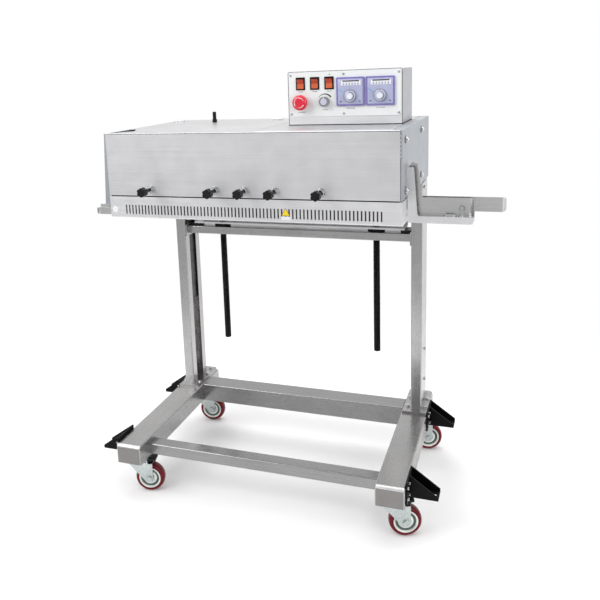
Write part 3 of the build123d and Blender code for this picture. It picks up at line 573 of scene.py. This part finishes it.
def controllers():
    """Lilac framed faces with a blank window and scale, a dial, two screws and a pointer line."""
    machined("temperature_controllers", LILAC, 0.0008, 3)
    face = front_of("temperature_controllers")
    for number in (1, 2):
        x, _, dial_z = JOINTS["dial_%d_turn" % number]["pos_m"]
        z = dial_z + 0.011
        plate("controller_face_%d" % number, rectangle(0.0635, 0.0635, 0.002), 0.0008, (x, face, z), "head",
              LILAC_FACE, 0.0003)
        plate("controller_window_%d" % number, rectangle(0.050, 0.0125, 0.001), 0.0012,
              (x + 0.002, face, z + 0.0215), "head", WHITE_MARK, 0.0002)
        plate("controller_rule_%d" % number, rectangle(0.043, 0.0028, 0.0005), 0.0016,
              (x + 0.002, face, z + 0.0262), "head", BLACK_MARK, 0)
        for bar in range(6):
            plate("controller_scale_%d_%d" % (number, bar + 1), rectangle(0.0036, 0.0062, 0.0003), 0.0014,
                  (x - 0.0165 + 0.0074 * bar, face, z + 0.0190), "head", LILAC_FACE, 0)
        for side in (-1, 1):
            lathe("controller_lamp_%d_%s" % (number, "left" if side < 0 else "right"),
                  [(0.0, 0.0022, 0), (0.0012, 0.0020, 0), (0.0017, 0.0013, 0), (0.0017, 0.0, 0)],
                  (x + side * 0.0245, face, z - 0.0245), (0, -1, 0), "head", BLACK_MARK, 20)
        line = [(-0.0305, 0.0065), (-0.0295, 0.0075), (-0.0175, -0.0025), (-0.0180, -0.0035)]
        plate("controller_pointer_%d" % number, line, 0.0012, (x, face, z), "head", BLUE_MARK,
              0)
        rows = [(0.0, 10.6, 2), (7.2, 10.6, 1), (7.6, 11.0, 1), (8.6, 10.8, 1), (9.0, 10.0, 0), (9.3, 5.6, 0),
                (10.4, 5.0, 1), (14.2, 5.0, 0), (15.4, 4.6, 0), (16.0, 3.8, 0), (16.0, 0.6, 0), (3.0, 0.4, 0),
                (3.0, -8.0, 0), (0.0, -8.0, 0)]
        profile = [(r * MM, h * MM, m) for r, h, m in rows]
        disc = lathe("dial_face_%d" % number, profile, (x, face, dial_z), (0, -1, 0), "dial_%d" % number,
                     [DIAL_GREY, DIAL_LIGHT, DIAL_CENTRE], 72)
        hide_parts("dial_%d" % number)
        for tick in range(11):
            a = math.radians(-45 + 27 * tick)
            r0, r1, half = 0.0178, 0.0200, 0.00025
            u, v = (math.cos(a), math.sin(a)), (-math.sin(a), math.cos(a))
            mark = [(r * u[0] + s * half * v[0], r * u[1] + s * half * v[1])
                    for r, s in ((r0, -1), (r1, -1), (r1, 1), (r0, 1))]
            plate("controller_tick_%d_%d" % (number, tick + 1), mark, 0.0010, (x, face, dial_z), "head",
                  GREY_MARK, 0)
        pointer = [(-0.0004, 0.0100), (0.0004, 0.0100), (0.0004, 0.0150), (-0.0004, 0.0150)]
        plate("dial_line_%d" % number, pointer, 0.0003, (x, face - 0.0048, dial_z), "dial_%d" % number,
              BLACK_MARK, 0)


def panel_trim():
    """Panel screws and a small lamp."""
    low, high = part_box("control_panel")
    face = low.y
    columns = (low.x + 0.0055, (low.x + high.x) / 2, high.x - 0.0055)
    for i, x in enumerate(columns):
        for j, z in enumerate((low.z + 0.0065, high.z - 0.0065)):
            profile = [(0.0, 0.0011, 0), (0.0006, 0.0011, 0), (0.0007, 0.0004, 0), (0.0014, 0.0004, 0),
                       (0.0015, 0.0015, 0), (0.0026, 0.0013, 0), (0.0031, 0.0006, 0), (0.0031, 0.0, 0)]
            lathe("panel_screw_%d_%d" % (i + 1, j + 1), profile, (x, face, z), (0, -1, 0), "head", GREY_MARK,
                  24)
    lamp_x = JOINTS["rocker_3_tilt"]["pos_m"][0]
    lathe("panel_lamp", [(0.0, 0.0014, 0), (0.0012, 0.0012, 0), (0.0018, 0.0004, 0), (0.0018, 0.0, 0)],
          (lamp_x + 0.001, face, high.z - 0.0062), (0, -1, 0), "head", GREEN, 20)


# Head details

def vent_marks():
    """Blank yellow triangle with a blank white tag, and a plain round sticker."""
    low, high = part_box("belt_guard")
    face = low.y
    x = (low.x + high.x) / 2 + 0.104
    z = (low.z + high.z) / 2 - 0.006
    triangle = [(-0.0115, -0.0085), (0.0115, -0.0085), (0.0, 0.0115)]
    plate("triangle_border", triangle, 0.0003, (x, face, z + 0.0035), "head", BLACK_MARK, 0)
    inset = [(u * 0.86, v * 0.86) for u, v in triangle]
    plate("triangle_face", inset, 0.0005, (x, face, z + 0.0035), "head", YELLOW, 0)
    plate("blank_tag", rectangle(0.023, 0.0085, 0.0006), 0.0004, (x, face, z - 0.0105), "head", WHITE_MARK,
          0)
    lathe("round_sticker", [(0.0, 0.0004, 0), (0.0082, 0.0004, 0), (0.0085, 0.0, 0)],
          (low.x + 0.014, face, z), (0, -1, 0), "head", WHITE_MARK, 40)


def strip(name, low, high, body, material, bevel=0.0002):
    """A plain bar between two corners."""
    bm = bmesh.new()
    bmesh.ops.create_cube(bm, size=1.0)
    low, high = Vector(low), Vector(high)
    for vert in bm.verts:
        vert.co = (low + high) / 2 + Vector([c * size for c, size in zip(vert.co, high - low)])
    if bevel:
        bevel_sharp(bm, bevel, 2)
    return add_object(name, mesh_from(bm, name), body, material)


def shade_strips():
    """Dark strips painted as shade: lines round the control box, shadow lines at the front cover's top and bottom,
    and a dark sheet behind the vent slots standing in for the shade inside the guard.
    """
    low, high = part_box("control_box")
    ring = 0.0014
    top = low.z + 0.0020
    # Dark strips round the foot of the control box, painted shade under it.
    for name, x0, x1, y0, y1 in (("front", low.x - 0.0004, high.x + 0.0004, low.y - 0.0004, low.y + ring),
                                 ("rear", low.x - 0.0004, high.x + 0.0004, high.y - ring, high.y + 0.0004),
                                 ("left", low.x - 0.0004, low.x + ring, low.y + ring, high.y - ring),
                                 ("right", high.x - ring, high.x + 0.0004, low.y + ring, high.y - ring)):
        strip("box_shade_line_" + name, (x0, y0, low.z), (x1, y1, top), "head", SHADOW)
    # Dark strips on the box front's edges, painted shade lines.
    edge = 0.0011
    for name, x0, x1, z0, z1 in (("left", low.x, low.x + edge, top, high.z - 0.0026),
                                 ("right", high.x - edge, high.x, top, high.z - 0.0026),
                                 ("top", low.x + 0.0022, high.x - 0.0022, high.z - edge, high.z)):
        strip("box_edge_shade_" + name, (x0, low.y - 0.0003, z0), (x1, low.y + 0.0004, z1), "head", SHADOW,
              0)
    low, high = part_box("front_cover")
    # Painted shadow lines: one under the lid's front edge and one in the gap below the front cover.
    strip("cover_shadow_line", (low.x + 0.001, low.y - 0.0002, high.z - 0.0024),
          (high.x - 0.001, low.y + 0.0003, high.z - 0.0012), "head", SHADOW, 0)
    strip("cover_gap_shade", (low.x + 0.003, low.y + 0.0024, low.z - 0.006),
          (high.x - 0.003, low.y + 0.0042, low.z + 0.002), "head", SHADOW, 0)
    low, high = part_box("belt_guard")
    # A dark sheet behind the vent slots, painted shade for the inside of the guard.
    strip("vent_shade_sheet", (low.x + 0.030, low.y + 0.0030, low.z + 0.012),
          (high.x - 0.010, low.y + 0.0038, high.z - 0.012), "head", VENT_SHADE, 0)


def bolt_shadow_rings():
    """Dark rings painted as the shadow under the dome nuts of the side covers."""
    low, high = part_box("side_covers")
    bolt_low, bolt_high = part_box("cover_bolts")
    flange = 0.0075
    profile = [(0.0070, 0.0, 0), (0.0092, 0.0, 0), (0.0090, 0.0007, 0), (0.0070, 0.0007, 0)]
    for side, x in ((-1, low.x), (1, high.x)):
        for i, y in enumerate((bolt_low.y + flange, bolt_high.y - flange)):
            for j, z in enumerate((bolt_low.z + flange, bolt_high.z - flange)):
                lathe("bolt_ring_%s_%d%d" % ("left" if side < 0 else "right", i, j), profile, (x, y, z),
                      (side, 0, 0), "head", SHADOW, 32, closed=True)


def legends():
    """Blank grey bars where the panel carries its captions."""
    face = front_of("control_panel")
    places = []
    for number in (1, 2, 3):
        x, _, z = JOINTS["rocker_%d_tilt" % number]["pos_m"]
        places.append((x, z - 0.0205, 0.013, 0.0022))
    x, _, z = JOINTS["speed_knob_turn"]["pos_m"]
    places.append((x, z - 0.0205, 0.015, 0.0022))
    low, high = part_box("estop_button")
    places.append(((low.x + high.x) / 2, (low.z + high.z) / 2 - 0.0255, 0.020, 0.0024))
    for number in (1, 2):
        x, _, z = JOINTS["dial_%d_turn" % number]["pos_m"]
        places.append((x, z - 0.0310, 0.022, 0.0024))
    for number, (x, z, width, height) in enumerate(places, 1):
        plate("legend_%d" % number, rectangle(width, height, 0.0004), 0.0002, (x, face, z), "head", GREY_MARK,
              0)


# Studio

def studio():
    """Pale floor that fades out, plain surroundings and soft lights."""
    floor = bmesh.new()
    half = 9.0
    corners = ((-half, -half), (half, -half), (half, half), (-half, half))
    floor.faces.new([floor.verts.new((x, y, 0)) for x, y in corners])
    mesh = mesh_from(floor, "floor")
    ground = bpy.data.objects.new("floor", mesh)
    bpy.context.scene.collection.objects.link(ground)
    shader = Shader("floor_paper", Roughness=0.9, Specular_IOR_Level=0.1)
    tones = ((0.93, 0.93, 0.93), (0.96, 0.96, 0.96))
    shader.colour(shader.ramp(shader.noise((0.6, 0.6, 0.6)), 0.3, 0.7, tones))
    reach = shader.node("ShaderNodeVectorMath", [(0, shader.place.outputs["Object"])], operation="LENGTH")
    fade = shader.span(reach.outputs["Value"], 0.75, 1.7, 1.0, 0.0)
    shader.tree.links.new(fade, shader.main.inputs["Alpha"])
    mesh.materials.append(shader.material)
    world = bpy.data.worlds.new("studio")
    bpy.context.scene.world = world
    world.use_nodes = True
    tree = world.node_tree
    back = tree.nodes["Background"]
    place = tree.nodes.new("ShaderNodeTexCoord")
    split = tree.nodes.new("ShaderNodeSeparateXYZ")
    tree.links.new(place.outputs["Generated"], split.inputs[0])
    ramp = tree.nodes.new("ShaderNodeValToRGB")
    spread = tree.nodes.new("ShaderNodeMapRange")
    spread.inputs["From Min"].default_value = -1.0
    tree.links.new(split.outputs["Y"], spread.inputs["Value"])
    tree.links.new(spread.outputs["Result"], ramp.inputs["Fac"])
    ramp.color_ramp.elements[0].color = (0.62, 0.62, 0.63, 1)
    ramp.color_ramp.elements[1].color = (1.0, 1.0, 1.0, 1)
    ramp.color_ramp.elements[0].position = 0.15
    ramp.color_ramp.elements[1].position = 0.75
    path = tree.nodes.new("ShaderNodeLightPath")
    seen = tree.nodes.new("ShaderNodeMix")
    seen.data_type = "RGBA"
    seen.inputs[7].default_value = (1.0, 1.0, 1.0, 1.0)
    tree.links.new(path.outputs["Is Camera Ray"], seen.inputs["Factor"])
    tree.links.new(ramp.outputs["Color"], seen.inputs[6])
    tree.links.new(seen.outputs[2], back.inputs["Color"])
    for name, at, size, power in (("key", (-2.2, -2.3, 2.8), 2.0, 68), ("fill", (2.6, -1.6, 1.6), 2.0, 30),
                                  ("top", (0.0, 0.6, 3.4), 2.6, 48)):
        lamp = bpy.data.lights.new(name, "AREA")
        lamp.energy, lamp.size = power, size
        holder = bpy.data.objects.new(name, lamp)
        holder.location = at
        holder.rotation_euler = (Vector((0, 0, 0.7)) - Vector(at)).to_track_quat("-Z", "Y").to_euler()
        bpy.context.scene.collection.objects.link(holder)


def camera():
    lens = bpy.data.cameras.new("camera")
    lens.lens = CAMERA_LENS
    lens.shift_x, lens.shift_y = CAMERA_SHIFT
    eye = bpy.data.objects.new("camera", lens)
    eye.location = CAMERA_AT
    eye.rotation_euler = [math.radians(a) for a in CAMERA_TURN]
    bpy.context.scene.collection.objects.link(eye)
    bpy.context.scene.camera = eye


bpy.context.scene.view_settings.view_transform = "Standard"
studio()
camera()
dress_stand()
dress_head()
dress_casters()
for corner in ("fl", "fr", "rl", "rr"):
    wheel(corner)
threaded_rods()
rockers()
stop_button()
speed_control()
controllers()
panel_trim()
legends()
shade_strips()
bolt_shadow_rings()
vent_marks()
